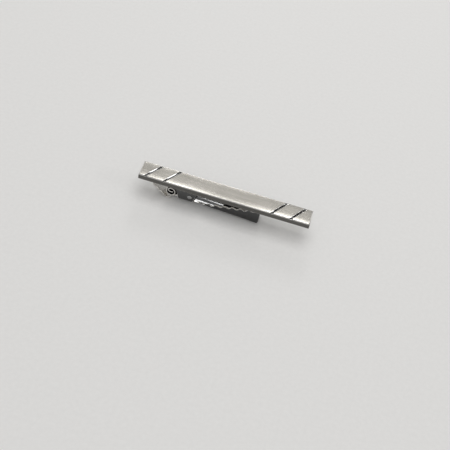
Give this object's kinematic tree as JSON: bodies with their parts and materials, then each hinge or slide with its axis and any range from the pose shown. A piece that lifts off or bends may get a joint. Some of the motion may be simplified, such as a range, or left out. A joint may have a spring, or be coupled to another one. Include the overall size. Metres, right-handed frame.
{
  "type": "tie clip",
  "caption": "Straight metal tie bar with a brushed face and diagonal V-grooves, and a sprung toothed alligator clip on its back.",
  "frame": {"origin": "middle of the box's bottom face: under the middle of the bar, at the level of the surface that the clip stands on", "axes": "+X along the bar towards the jaw's tip, +Y across the bar, +Z out of the bar's decorated face"},
  "size_m": [0.058, 0.0066, 0.0084],
  "materials": {
    "bar_metal": "brushed along the length on the face, polished on the bevels, sides and groove walls",
    "solder": "dull, slightly uneven",
    "clip_steel": "bright plated, with fine handling marks",
    "pin_steel": "bright plated",
    "spring_steel": "bright rolled strip",
    "lever_steel": "bright plated jaw, thumb tab brushed along its length"
  },
  "bodies": {
    "bar": {"tie_bar": "bar_metal", "solder_seam": "solder", "clip_bracket": "clip_steel", "pivot_pin": "pin_steel", "band_spring": "spring_steel"},
    "lever": {"clip_lever": "lever_steel"}
  },
  "joints": [
    {"name": "jaw_hinge", "type": "hinge", "parent": "bar", "child": "lever", "pos_m": [-0.0112, 0, 0.004], "axis": [0, 1, 0], "range_deg": [0, 13], "stiffness_Nm_per_rad": 0.08, "springref_deg": -20.05, "deforming": ["band_spring"]}
  ]
}
